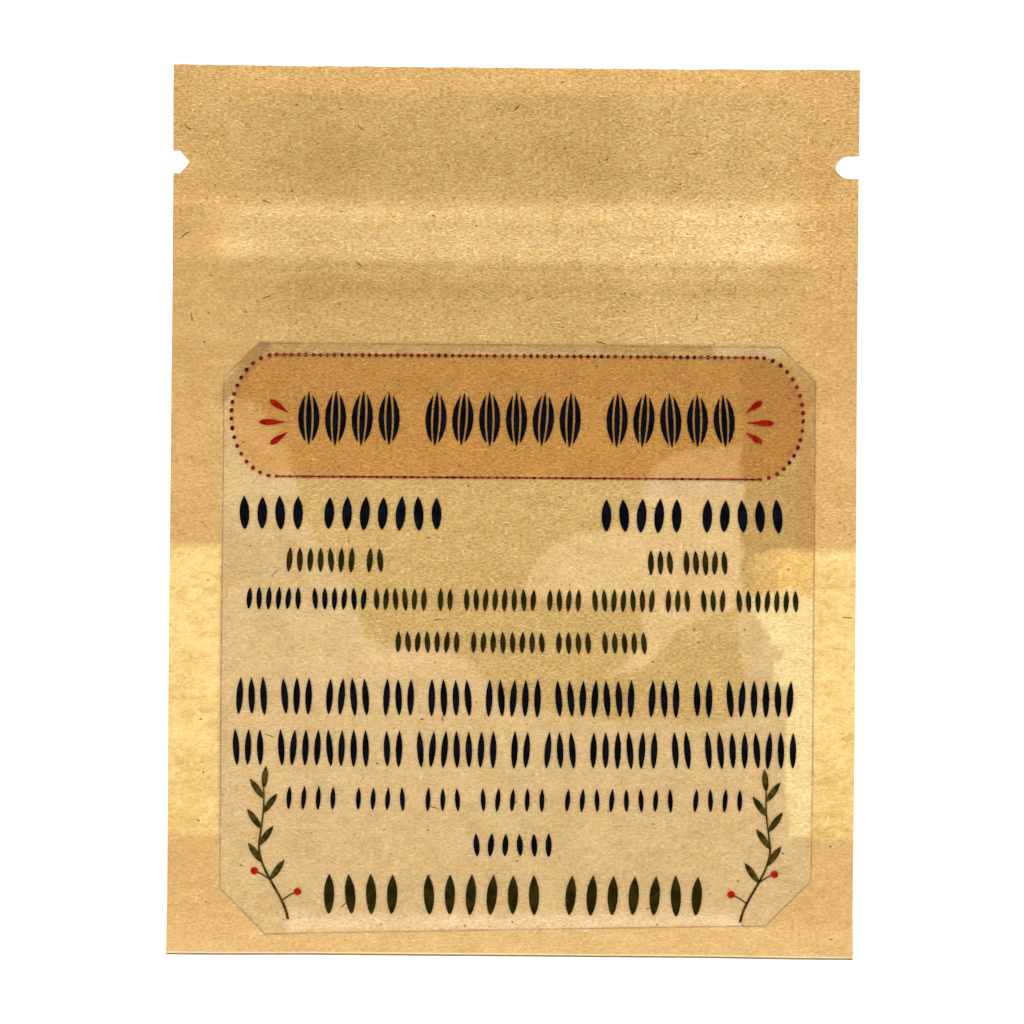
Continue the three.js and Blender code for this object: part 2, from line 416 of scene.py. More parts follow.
def kraft_material(name, toned):
    """Brown paper with fine streaks, fibres and specks. A toned one takes its colour from the mesh."""
    made = Nodes(name)
    tone, contrast, glow = albedo(bpy.context.scene.pouch_paints.body), 1.0, 0.0
    if toned:
        stored = made.add("ShaderNodeAttribute", attribute_name="tone")
        tone, contrast = stored.outputs["Color"], stored.outputs["Alpha"]
        glow = made.add("ShaderNodeAttribute", attribute_name="glow").outputs["Fac"]
    fine = made.noise(0.37, 0.17, detail=1.0, turn=0.05, shift=5.0, distortion=0.3)
    short = made.noise(1.3, 0.7, turn=-0.15, shift=17.0, distortion=0.6)
    clouds = made.noise(5.0, 3.2, turn=0.1, shift=1.0)
    strands = 0.0
    for kind, strength in FIBRE_STRENGTHS.items():
        strands = made.maths("MULTIPLY_ADD", made.strands(kind), strength, strands)
    bundles = made.noise(2.4, 1.5, turn=0.2, shift=41.0, distortion=0.4)
    bundled = made.maths("MULTIPLY", strands, made.ramp(bundles, 0.35, 0.65, 0.45, 1.3))
    streaks = made.maths("MULTIPLY_ADD", made.sway(fine, 0.9, bundled), contrast, 0.975)
    # Where painted light comes through the paper, given by the glow, its clouds and patches show more
    # strongly.
    patchy = made.sway(short, made.maths("MULTIPLY_ADD", glow, 0.22, 0.26), streaks)
    level = made.sway(clouds, made.maths("MULTIPLY_ADD", glow, 0.12, 0.2), patchy)
    shades = [made.maths("POWER", level, power) for power in LEVEL_POWERS]
    grain = made.add("ShaderNodeCombineColor", dict(enumerate(shades))).outputs[0]
    stain = made.noise(1.5, 0.8, detail=3.0, turn=-0.1, shift=57.0, distortion=0.7)
    stain = made.maths("SUBTRACT", made.ramp(stain, 0.47, 0.68), 0.3)
    stained = made.maths("MULTIPLY_ADD", stain, contrast, 0.3)
    hue = made.mix(stained, (1.0, 1.005, 1.03, 1), (1.0, 0.95, 0.84, 1))
    colour = made.multiply(made.multiply(tone, hue), grain)
    marks = made.maths("MAXIMUM", made.strands("splinter"), made.strands("speck"))
    marked = made.mix(made.maths("MULTIPLY", marks, 0.85), colour, albedo(screen(92, 48, 12)))
    made.feed(made.shader.inputs["Base Color"], marked)
    made.bump(fine, 0.3, 0.05 * MM)
    return made.surface(made.ramp(fine, 0.2, 0.8, 0.74, 0.9), 0.2)


def ink_material(name, colour, second, spot):
    """Print ink, a little uneven where it took to the film, in spots of a size in millimetres."""
    made = Nodes(name)
    pattern = made.blotches(spot, spot, 2.0, 0.35, 0.65, colour, second)
    return made.surface(made.ramp(pattern, 0.2, 0.8, 0.5, 0.65), 0.02)


def film_material(name, roughness):
    """Clear film: a soft shine over whatever lies behind it, stronger where it is seen from the side."""
    made = Nodes(name)
    made.tree.nodes.remove(made.shader)
    clear = made.add("ShaderNodeBsdfTransparent").outputs[0]
    gloss = made.add("ShaderNodeBsdfGlossy", {"Roughness": roughness}).outputs[0]
    facing = made.add("ShaderNodeLayerWeight", {"Blend": 0.5}).outputs["Facing"]
    share = made.maths("MULTIPLY_ADD", made.maths("POWER", facing, 4.0), 0.3, 0.02)
    both = made.add("ShaderNodeMixShader", {0: share, 1: clear, 2: gloss}).outputs[0]
    made.feed(made.out.inputs["Surface"], both)
    return made.material


def rim_material(name):
    """The line that the light draws along the label's cut edge."""
    made = Nodes(name)
    made.blotches(2.5, 2.5, 4.0, 0.3, 0.7, screen(120, 86, 44), screen(190, 150, 96))
    made.feed(made.shader.inputs["Alpha"], 0.4)
    return made.surface(0.5)


def edge_light_and_shadow_material(name, colour, second):
    """A line along a ply's bottom edge: on the front, a painted highlight where light catches its cut edge;
    on the back, its own edge painted dark with the front's shadow.
    """
    made = Nodes(name)
    made.blotches(1.6, 0.4, 7.0, 0.35, 0.7, colour, second)
    return made.surface(0.85, 0.1)


def inner_film_material():
    """The pale shiny sealing film on the inside of the paper."""
    found = bpy.data.materials.get("inner_film")
    if found:
        return found
    made = Nodes("inner_film")
    paints = bpy.context.scene.pouch_paints
    thin = blend(paints.inner_film, paints.body, 0.5)
    made.blotches(1.2, 0.8, 0.0, 0.3, 0.7, paints.inner_film, thin)
    return made.surface(0.35)


def powder_material(name):
    """Ground seed: pale husk, brown crumbs and dark specks."""
    made = Nodes(name)
    crumbs = made.add("ShaderNodeTexVoronoi", {"Vector": made.place(0.34, 0.34), "Scale": 1.0})
    chance = made.add("ShaderNodeSeparateColor", {0: crumbs.outputs["Color"]})
    pale = made.ramp(chance.outputs[0], 0.62, 0.9)
    dark = made.ramp(chance.outputs[1], 0.72, 0.92)
    brown = albedo(bpy.context.scene.pouch_paints.powder)
    shade = made.mix(pale, brown, albedo(screen(199, 173, 117)))
    shade = made.mix(dark, shade, albedo(screen(71, 48, 26)))
    made.feed(made.shader.inputs["Base Color"], shade)
    made.bump(crumbs.outputs["Distance"], 0.6, 0.15 * MM)
    return made.surface(0.95, 0.15)


# ---------------------------------------------------------------- meshes

# An outline here has no hollow side, and its points run anticlockwise.


def rectangle(low_x, high_x, low_y, high_y, cell):
    """A flat grid of square cells."""
    width, height = high_x - low_x, high_y - low_y
    columns, rows = max(1, round(width / cell)), max(1, round(height / cell))
    plan = bmesh.new()
    bmesh.ops.create_grid(plan, x_segments=columns, y_segments=rows, size=0.5)
    bmesh.ops.scale(plan, verts=plan.verts, vec=(width, height, 1))
    middle = Vector(((low_x + high_x) / 2, (low_y + high_y) / 2, 0))
    bmesh.ops.translate(plan, verts=plan.verts, vec=middle)
    return plan


def cut_line(plan, faces, start, end, drop=False):
    """Cuts faces along a line. With drop, what lies to its left goes."""
    along = (Vector(end) - Vector(start)).to_3d()
    left = Vector((-along.y, along.x, 0))
    geometry = list({*faces, *(e for f in faces for e in f.edges), *(v for f in faces for v in f.verts)})
    bmesh.ops.bisect_plane(
        plan, geom=geometry, plane_co=Vector(start).to_3d(), plane_no=left, clear_outer=drop, dist=1e-7
    )


def sides_of(outline):
    """Pairs of corners, one pair for each side."""
    return list(zip(outline, outline[1:] + outline[:1]))


def keep_inside(plan, outline):
    for start, end in sides_of(outline):
        cut_line(plan, list(plan.faces), end, start, drop=True)


def is_inside(point, outline):
    return all((Vector(b) - Vector(a)).cross(point - Vector(a)) > 0 for a, b in sides_of(outline))


def cut_hole(plan, outline):
    """Takes out what is inside an outline."""
    reach = 1.5 * bpy.context.scene.pouch_sizes.paper_cell
    low = Vector((min(p[0] for p in outline) - reach, min(p[1] for p in outline) - reach))
    high = Vector((max(p[0] for p in outline) + reach, max(p[1] for p in outline) + reach))

    def near(face):
        corner = face.verts[0].co
        return low.x < corner.x < high.x and low.y < corner.y < high.y

    for start, end in sides_of(outline):
        cut_line(plan, [f for f in plan.faces if near(f)], start, end)
    gone = [f for f in plan.faces if near(f) and is_inside(f.calc_center_median().to_2d(), outline)]
    bmesh.ops.delete(plan, geom=gone, context="FACES")


def dice(plan, cell):
    """Cuts every face so that none is longer than a cell, so that the plan can bend."""
    reach = 6 * cell  # more than half of the longest printed shape
    for index in (0, 1):
        values = [v.co[index] for v in plan.verts]
        low, high = min(values), max(values)
        count = int((high - low) / cell)
        for step in range(1, count + 1):
            at = low + step * (high - low) / (count + 1)
            near = [f for f in plan.faces if any(abs(v.co[index] - at) < reach for v in f.verts)]
            start, end = ((at, 0), (at, -1)) if index == 0 else ((0, at), (1, at))
            cut_line(plan, near, start, end)


def drape(verts, height):
    """Lays flat verts on a surface."""
    for vert in verts:
        vert.co.z = height(vert.co.x, vert.co.y)


def thicken(plan, lower, upper):
    """Turns a flat plan into a closed sheet between two surfaces. Returns the faces of its upper side."""
    lower_verts = list(plan.verts)
    raised = bmesh.ops.extrude_face_region(plan, geom=list(plan.faces), use_keep_orig=True)["geom"]
    drape(lower_verts, lower)
    drape([g for g in raised if isinstance(g, bmesh.types.BMVert)], upper)
    bmesh.ops.recalc_face_normals(plan, faces=plan.faces)
    return [g for g in raised if isinstance(g, bmesh.types.BMFace)]


def finish_piece(plan, name, materials, replaces=(), sharp=40):
    """Makes the mesh an object that rides on the pouch."""
    mesh = bpy.data.meshes.new(name)
    plan.to_mesh(mesh)
    plan.free()
    for material in materials:
        mesh.materials.append(material)
    mesh.shade_smooth()
    mesh.set_sharp_from_angle(angle=math.radians(sharp))
    piece = bpy.data.objects.new(name, mesh)
    bpy.context.scene.collection.objects.link(piece)
    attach(piece, BODY)
    if replaces:
        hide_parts(*replaces)
    return piece


# ---------------------------------------------------------------- the paper's tone

# Patches of the paper under the label, as outlines in millimetres on the label, each with its colour: where
# the label holds to the paper, where it stands off it, and, in GOLD, GOLD_SIDE and BRIGHT, painted light that
# comes through the clear strip behind the paper. Each is laid over those before it.
WET = [
    (-28.0, 16.1), (-28.5, 11.7), (-25.7, 10.4), (-23.4, 7.1), (-22.1, 3.1), (-21.8, 0.0), (-20.5, -2.5),
    (-18.7, -4.6), (-16.8, -7.1), (-15.8, -9.7), (-15.4, -11.7), (-14.3, -13.7), (-8.4, -13.7), (-5.9, -14.2),
    (-3.8, -15.7), (-2.5, -17.4), (-0.7, -19.1), (2.9, -20.3), (9.0, -21.0), (18.2, -21.5), (22.3, -20.8),
    (23.8, -19.7), (23.3, -15.0), (22.9, -11.5), (23.4, -7.9), (23.5, 16.6),
]
PALE = [
    (23.3, 6.8), (18.0, 6.2), (14.5, 4.7), (13.6, 2.9), (13.0, 0.7), (10.1, -1.6), (6.3, -2.4), (3.9, -3.5),
    (2.3, -5.2), (1.4, -6.8), (0.9, -8.4), (4.8, -9.0), (8.9, -9.3), (13.0, -9.6), (13.3, -11.5),
    (13.0, -13.6), (11.5, -15.3), (9.6, -16.8), (13.1, -15.9), (15.1, -14.1), (16.7, -12.2), (19.1, -10.8),
    (22.2, -10.0), (23.4, -8.9),
]
PALE_TOP = [(23.4, 7.0), (18.0, 6.4), (14.4, 4.9), (13.4, 2.9), (13.1, 1.5), (23.4, 1.3)]
RIGHT_STRIP = [
    (23.3, 17.1), (23.4, -7.9), (25.0, -7.9), (24.9, -4.0), (30.8, -4.0), (30.8, 14.1), (26.8, 17.2),
]
# Painted light through the clear strip behind the paper, at the label's right side.
GOLD = [(24.9, -4.0), (31, -4.0), (31, -8.9), (28.8, -7.7), (24.5, -8.9)]
GOLD_SIDE = [(24.3, -4.1), (26.7, -4.1), (26.9, -8.0), (24.3, -8.6)]
BRIGHT = [
    (24.0, -8.7), (29.3, -7.7), (31, -8.9), (31, -33.0), (28.5, -33.0), (27.8, -27.3), (28.0, -21.1),
    (29.1, -19.1), (26.9, -17.3), (26.5, -15.5), (28.0, -14.5), (26.3, -13.0), (24.9, -10.4),
]
RIGHT_FOOT = [(23.4, -4.6), (24.9, -4.6), (24.9, -7.9), (23.4, -7.9)]
BAR = [(28.7, 14.6), (30.8, 14.0), (30.8, -3.6), (28.9, -3.6)]
LEFT_STRIP = [(-30.5, 11.6), (-28.9, 11.6), (-28.9, 6.4), (-30.5, 6.4)]
TOP_LEFT_STRIP = [
    (-29.8, 12.7), (-26.3, 17.1), (8.8, 17.3), (8.8, 16.2), (-25.8, 15.9), (-28.6, 12.0), (-29.8, 10.6),
]
TOP_LEFT_CORNER = [(-28.6, 14.2), (-26.4, 17.1), (-24.5, 17.2), (-25.9, 15.4), (-27.6, 13.2)]
TOP_RIGHT_STRIP = [(8.8, 17.4), (20.5, 17.4), (20.5, 16.0), (8.8, 16.1)]
PALE_TOP_STRIP = [(20.5, 17.4), (27.2, 17.1), (28.3, 15.9), (20.5, 16.0)]
BOTTOM_STRIP = [(-22.8, -41.5), (23.4, -41.0), (23.4, -42.7), (-22.6, -43.0)]
DULL_LEFT = [(-29.8, -2.8), (-22.6, -2.8), (-20.6, -7.4), (-29.8, -7.4)]
LIGHT_MIDDLE = [(-15.2, -14.3), (-8.0, -14.3), (-5.2, -15.4), (-6.0, -17.0), (-15.2, -17.0)]

# Each patch's colour, how much of it shows, how soft its edge is, and how firmly the film holds to the paper.
PATCHES = (
    (DULL_LEFT, screen(217, 181, 121), 0.9, 2.4, 0.1),
    (LIGHT_MIDDLE, screen(234, 196, 136), 0.9, 1.4, 0.1),
    (WET, screen(213, 175, 103), 1.0, 0.45, 1.0),
    (PALE, screen(233, 196, 132), 1.0, 0.5, 0.2),
    (PALE_TOP, screen(222, 189, 133), 0.9, 0.9, 0.2),
    (RIGHT_STRIP, screen(201, 160, 89), 1.0, 0.3, 0.9),
    (RIGHT_FOOT, screen(208, 166, 94), 1.0, 0.6, 0.9),
    (BAR, screen(197, 148, 77), 0.88, 0.5, 0.9),
    (GOLD, screen(249, 201, 115), 1.0, 0.3, 0.5),
    (GOLD_SIDE, screen(226, 181, 105), 0.9, 1.4, 0.6),
    (BRIGHT, screen(255, 224, 155), 1.0, 0.5, 0.2),
    (LEFT_STRIP, screen(226, 181, 116), 0.9, 0.4, 0.5),
    (TOP_LEFT_STRIP, screen(190, 151, 87), 0.95, 0.35, 0.7),
    (TOP_LEFT_CORNER, screen(174, 131, 72), 0.9, 0.5, 0.7),
    (TOP_RIGHT_STRIP, screen(186, 145, 76), 0.9, 0.4, 0.7),
    (PALE_TOP_STRIP, screen(216, 182, 130), 0.8, 0.4, 0.2),
    (BOTTOM_STRIP, screen(249, 213, 163), 0.95, 1.5, 0.1),
)
TITLE_TINT = (0.93, 0.72, 0.45)
HELD_TITLE_TINT = (0.88, 0.625, 0.3)

# The title's border: its middle, half its size, and how far its round ends reach in.
TITLE_MIDDLE = Vector((0.355, 9.63)) * MM
TITLE_HALF = Vector((29.19, 6.22)) * MM
TITLE_END = 4.55 * MM


def patch_share(x, y, outline, soft):
    """1 inside an outline and 0 outside it, with an even change as wide as soft. All in millimetres."""
    if not (min(p[0] for p in outline) - soft < x < max(p[0] for p in outline) + soft):
        return 0.0
    if not (min(p[1] for p in outline) - soft < y < max(p[1] for p in outline) + soft):
        return 0.0
    inside, nearest = False, 1e9
    for (ax, ay), (bx, by) in sides_of(outline):
        if (ay > y) != (by > y) and x < ax + (y - ay) / (by - ay) * (bx - ax):
            inside = not inside
        length = (bx - ax) ** 2 + (by - ay) ** 2
        along = min(1.0, max(0.0, ((x - ax) * (bx - ax) + (y - ay) * (by - ay)) / length))
        nearest = min(nearest, math.hypot(x - ax - along * (bx - ax), y - ay - along * (by - ay)))
    return ease(-soft / 2, soft / 2, nearest if inside else -nearest)


def title_share(x, y):
    """1 inside the title's border and 0 outside it."""
    across = max(0.0, abs(x - TITLE_MIDDLE.x) - TITLE_HALF.x + TITLE_END) / TITLE_END
    up = abs(y - TITLE_MIDDLE.y) / TITLE_HALF.y
    return ease(1.01, 0.985, math.hypot(across, up))


def spot(x, y, middle_x, middle_y, reach_x, reach_y):
    """1 at a place and less round it, all in millimetres."""
    return math.exp(-(((x - middle_x) / reach_x) ** 2) - ((y - middle_y) / reach_y) ** 2)


def zip_share(y):
    """1 on the zip's raised band and 0 away from it, in millimetres."""
    return ease(33.2, 30.8, y) * ease(24.9, 26.3, y)


# Bands of painted light and shade up the pouch, with highlights where the lamp catches the zip's ridges and
# shade beside them: middle and reach in millimetres, and how much brighter each is.
FRONT_BANDS = (
    (18.3, 3, 0.05),
    (22.7, 1.9, -0.095),
    (25.3, 1.6, 0.07),
    (27.9, 1, 0.06),
    (33.3, 1, 0.06),
    (35.5, 5, -0.055),
)
ZIP_BANDS = ((27.3, 1.3, 0.1), (30.4, 1.2, 0.12))
SEAL_BANDS = ((27, 2, 0.08), (31.3, 0.9, 0.13))


def banded(bands, y):
    return sum(change * bell(middle, reach, y) for middle, reach, change in bands)


def body_level(x, y):
    """How bright the unlabelled front is at a place in millimetres, with plain paper as 1: painted highlights
    along the zip's ridges and at its right end, painted shade below it, painted light through the paper over
    the pale zip, and more painted light towards the right.
    """
    level = 1 + banded(FRONT_BANDS, y) + zip_share(y) * (0.21 + banded(ZIP_BANDS, y))
    level -= 0.05 * bell(31.4, 0.9, y) * ease(10, -2, x)
    level += 0.09 * spot(x, y, 10, 24.8, 15, 2)
    level += 0.1 * ease(9, 15, x) - 0.035 * bell(-19, 9, x) - 0.045 * bell(8, 7, x) * ease(31, 34, y)
    level += 0.15 * spot(x, y, 25.2, 27.2, 4, 1.3) + 0.05 * bell(24.5, 0.5, x) * ease(22, 25, y)
    level -= 0.08 * ease(25.6, 26.6, x) * ease(25.6, 24.8, y) * ease(21.2, 22.2, y)
    return level


def seal_level(x, y):
    """How bright the side, top and bottom seals are at a place in millimetres, with painted highlights along
    the zip's ridges and painted light through the paper over the zip.
    """
    level = 0.93 + 0.07 * ease(18, 5, y) + 0.06 * ease(-3, -36, y) + 0.045 * ease(0, 5, x) * ease(-30, 5, y)
    level += 0.1 * ease(40.5, 43.5, y) * ease(34, 28, abs(x)) + 0.05 * ease(-41.5, -43, y)
    level += banded(SEAL_BANDS, y) + 0.14 * zip_share(y) * ease(33, 29, abs(x))
    return level + 0.03 * ease(15, 25, x) * bell(20, 5, y)


def body_contrast(x, y):
    """How strongly the unlabelled front's fibres show at a place in millimetres: more to the right."""
    return 0.98 - 0.06 * ease(28, 20, y) + 0.11 * (2 * ease(-32, 32, x) - 1)


def seal_contrast(x, y):
    """How strongly the seals' fibres show: as much as the front's at the top, and less down each side."""
    right = ease(-5, 5, x)
    low = 0.52 + (0.06 + 0.1 * right) * ease(-20, 0, y)
    return low + (0.98 - low) * ease(26 - 8 * right, 36 - 9 * right, y)


class Tone:
    """Colour, contrast and glow of the front's paper: its colour holds painted light and shade, and its glow
    is painted light through the paper.
    """

    def __init__(self, paints):
        self.body = linear(paints.body)
        self.seal = linear(paints.seal)
        self.foot = linear(paints.foot)
        self.glow = levelled(linear(paints.glow), 1.13)
        self.milky = linear(paints.milky)
        self.patches = [(outline, linear(colour), *rest) for outline, colour, *rest in PATCHES]
        self.outline = [(x / MM, y / MM) for x, y in label_outline()]

    def at(self, x, y):
        x_mm, y_mm = x / MM, y / MM
        on_seal = max(
            ease(21.5 + 5 * zip_share(y_mm), 31.5, abs(x_mm)),
            ease(41.9, 43.1, y_mm),
            ease(BOTTOM_SEAL_Y + 1.5 * MM, BOTTOM_SEAL_Y - 1 * MM, y),
        )
        body = levelled(self.body, body_level(x_mm, y_mm))
        seal = blend(self.seal, self.foot, 0.15 * ease(-30, -36, y_mm) + 0.85 * ease(-40.6, -42.6, y_mm))
        seal = tuple(c * seal_level(x_mm, y_mm) for c in seal)
        colour = blend(body, seal, on_seal)
        # A painted highlight at the zip's left end, where the side seal presses it flat.
        colour = levelled(colour, 1 + 0.17 * spot(x_mm, y_mm, -28.5, 27.0, 2.6, 1.1))
        contrast = body_contrast(x_mm, y_mm)
        contrast += (seal_contrast(x_mm, y_mm) - contrast) * on_seal
        # Painted light through the paper beside the pocket, where the clear strip is behind it: lighter,
        # cloudier, and a little darker towards the bottom.
        behind = ease(WINDOW_LOW.y - 0.75 * MM, WINDOW_LOW.y + 0.2 * MM, y)
        behind *= ease(WINDOW_HIGH.y + 0.25 * MM, WINDOW_HIGH.y - 0.25 * MM, y)
        glow = behind * ease(SIDE_SEAL_X - 0.4 * MM, SIDE_SEAL_X + 0.6 * MM, abs(x))
        colour = blend(colour, levelled(self.glow, 1 - 0.08 * ease(-24, -29, y_mm)), glow)
        contrast += (0.4 - contrast) * glow
        on_label = patch_share(x_mm, y_mm, self.outline, 0.12)
        if on_label > 0:
            under, contrast_under = self.under_label(x, y)
            colour = blend(colour, under, on_label)
            contrast += (contrast_under - contrast) * on_label
            glow *= 1 - on_label
        return colour, contrast, glow

    def under_label(self, x, y):
        """The paper's colour and contrast under the label film, with painted light through the clear strip in
        some of its patches.
        """
        wander = 0.35 * noise.noise(Vector((x / (1.6 * MM), y / (1.6 * MM), 2.2)))
        turned = Matrix.Rotation(-PRINT_TURN, 2) @ Vector((x, y))
        x_mm, y_mm = turned.x / MM, turned.y / MM
        colour, held = self.milky, 0.0
        for outline, paint_colour, share, soft, hold in self.patches:
            inside = share * patch_share(x_mm + wander, y_mm + wander, outline, soft)
            colour = blend(colour, paint_colour, inside)
            held += (hold - held) * inside
        in_title = title_share(turned.x, turned.y)
        tint = blend((1, 1, 1), blend(TITLE_TINT, HELD_TITLE_TINT, held), in_title)
        shade = 1.04 - 0.1 * in_title * ease(5, 13, y_mm)
        contrast = 0.54 + 0.36 * held
        return tuple(c * t * shade for c, t in zip(colour, tint)), contrast + 0.06 * in_title


def give_tone(piece):
    """Stores the paper's colour with its painted light and shade, its contrast, and its glow of painted light
    through the paper on each vertex.
    """
    mesh = piece.data
    tone = Tone(bpy.context.scene.pouch_paints)
    brightness = bpy.context.scene.pouch_stage.brightness
    colours, glows = [], []
    for vert in mesh.vertices:
        colour, contrast, glow = tone.at(vert.co.x, vert.co.y)
        colours.extend((*(c / brightness for c in colour), contrast))
        glows.append(glow)
    mesh.attributes.new("tone", "FLOAT_COLOR", "POINT").data.foreach_set("color", colours)
    mesh.attributes.new("glow", "FLOAT", "POINT").data.foreach_set("value", glows)


# ---------------------------------------------------------------- the paper

BACK_CELL = 0.6 * MM
STRIP_CELL = 1 * MM

# Places of a ply's materials. The last is a line along the bottom edge: a painted highlight on the front, and
# painted shadow on the back.
OUTSIDE, INSIDE, EDGE_LIGHT_AND_SHADOW = range(3)

# How deep each notch reaches at a share of its half height. The left one is pointed and the right one round.
NOTCH_PROFILES = {
    -1: ((-2.0, 1.0), (0.73, 1.0), (1.69, 0.0)),
    1: ((-2.0, 1.0), (1.3, 1.0), (1.85, 0.82), (2.25, 0.5), (2.45, 0.0)),
}


def notch_outline(side):
    """The tear notch in one side, anticlockwise."""
    half = [(depth * MM, share * NOTCH_HALF_HEIGHT) for depth, share in NOTCH_PROFILES[side]]
    points = half + [(depth, -rise) for depth, rise in half[-2::-1]]
    outline = [(side * (HALF_WIDTH - depth), NOTCH_Y + rise) for depth, rise in points]
    return outline if side > 0 else outline[::-1]


def split_row(plan, y):
    """Cuts the cells of the lowest rows along a level line."""
    low = min(v.co.y for v in plan.verts)
    near = [f for f in plan.faces if f.calc_center_median().y < low + 1.5 * MM]
    cut_line(plan, near, (-HALF_WIDTH - MM, y), (HALF_WIDTH + MM, y))


def cut_top(plan, seed):
    """Cuts the tear notches, and moves the verts of the top edge in and out a little."""
    for side in (-1, 1):
        cut_hole(plan, notch_outline(side))
    depth = bpy.context.scene.pouch_sizes.ragged
    for vert in plan.verts:
        if abs(vert.co.y - HALF_HEIGHT) < 1e-6:
            place = Vector((vert.co.x / (1.3 * MM), seed, 0))
            vert.co.y += depth * (noise.noise(place) - 0.35)


class POUCH_OT_front(bpy.types.Operator):
    """Build the front ply of kraft paper, with its notches and the form of the fill and the zip"""

    bl_idname = "pouch.front"
    bl_label = "Front ply"

    def execute(self, context):
        sizes = context.scene.pouch_sizes
        form = Form(sizes)
        bottom = FOOT_Y + sizes.back_proud
        plan = rectangle(-HALF_WIDTH, HALF_WIDTH, bottom, HALF_HEIGHT, sizes.paper_cell)
        split_row(plan, bottom + sizes.cut_edge_highlight)
        cut_top(plan, 1.7)
        upper_faces = set(thicken(plan, form.above_front(PLY_CLEAR - PLY), form.above_front(0)))
        for face in plan.faces:
            face.material_index = OUTSIDE if face in upper_faces or abs(face.normal.z) < 0.5 else INSIDE
            # The front's lowest strip of cells is a painted highlight, where light catches its cut edge.
            if face in upper_faces and face.calc_center_median().y < bottom + sizes.cut_edge_highlight:
                face.material_index = EDGE_LIGHT_AND_SHADOW
        cut_edge_highlight = edge_light_and_shadow_material("cut_edge_highlight", screen(255, 241, 182), screen(252, 228, 160))
        materials = [kraft_material("kraft_front", True), inner_film_material(), cut_edge_highlight]
        piece = finish_piece(plan, "front_ply", materials, ["pouch"])
        give_tone(piece)
        return {"FINISHED"}


class POUCH_OT_back(bpy.types.Operator):
    """Build the two pieces of the back ply, above and below the clear strip"""

    bl_idname = "pouch.back"
    bl_label = "Back plies"

    def execute(self, context):
        sizes = context.scene.pouch_sizes
        form = Form(sizes)
        foot = FOOT_Y + sizes.back_proud
        outer = kraft_material("kraft_back", False)
        # The back's strip past the front's edge: its own edge, painted dark with the front's shadow.
        back_edge_shadow = edge_light_and_shadow_material("back_edge_shadow", screen(160, 134, 100), screen(180, 152, 114))
        pieces = {
            "back_ply_upper": (WINDOW_HIGH.y + STRIP_GAP, HALF_HEIGHT),
            "back_ply_lower": (FOOT_Y, WINDOW_LOW.y - STRIP_GAP),
        }
        for name, (low, high) in pieces.items():
            plan = rectangle(-HALF_WIDTH, HALF_WIDTH, low, high, BACK_CELL)
            if high == HALF_HEIGHT:
                cut_top(plan, 6.2)
            else:
                split_row(plan, foot)
            for face in thicken(plan, form.underside, form.above_floor(PLY - PLY_CLEAR)):
                face.material_index = EDGE_LIGHT_AND_SHADOW if face.calc_center_median().y < foot else INSIDE
            finish_piece(plan, name, [outer, inner_film_material(), back_edge_shadow], ["pouch"])
        return {"FINISHED"}


class POUCH_OT_window(bpy.types.Operator):
    """Build the clear strip in the back"""

    bl_idname = "pouch.window"
    bl_label = "Clear strip"

    def execute(self, context):
        form = Form(context.scene.pouch_sizes)
        plan = rectangle(-HALF_WIDTH, HALF_WIDTH, WINDOW_LOW.y, WINDOW_HIGH.y, STRIP_CELL)
        thicken(plan, form.above_floor(STRIP_BACK), form.above_floor(STRIP_FACE))
        material = film_material("window_film", 0.12)
        finish_piece(plan, "window_film", [material], ["window"])
        return {"FINISHED"}


# ---------------------------------------------------------------- the powder

POWDER_MIDDLE = Vector((0, -9.5 * MM))
POWDER_REACH = Vector((27.2 * MM, 29 * MM))
POWDER_CELL = 0.45 * MM
POWDER_EDGE_STEPS = 72

# The powder's distance from the paper, its least depth, and its crumbs.
POWDER_CLEAR = 0.05 * MM
POWDER_LEAST = 0.02 * MM
CRUMB_SIZE = 0.55 * MM
CRUMB_HEIGHT = 0.04 * MM


def powder_edge(turn, out):
    """A point at a share of the way to the powder's edge, in one direction."""
    square = (abs(math.cos(turn)) ** 4 + abs(math.sin(turn)) ** 4) ** -0.25
    away = Vector((POWDER_REACH.x * math.cos(turn), POWDER_REACH.y * math.sin(turn)))
    return POWDER_MIDDLE + away * square * out


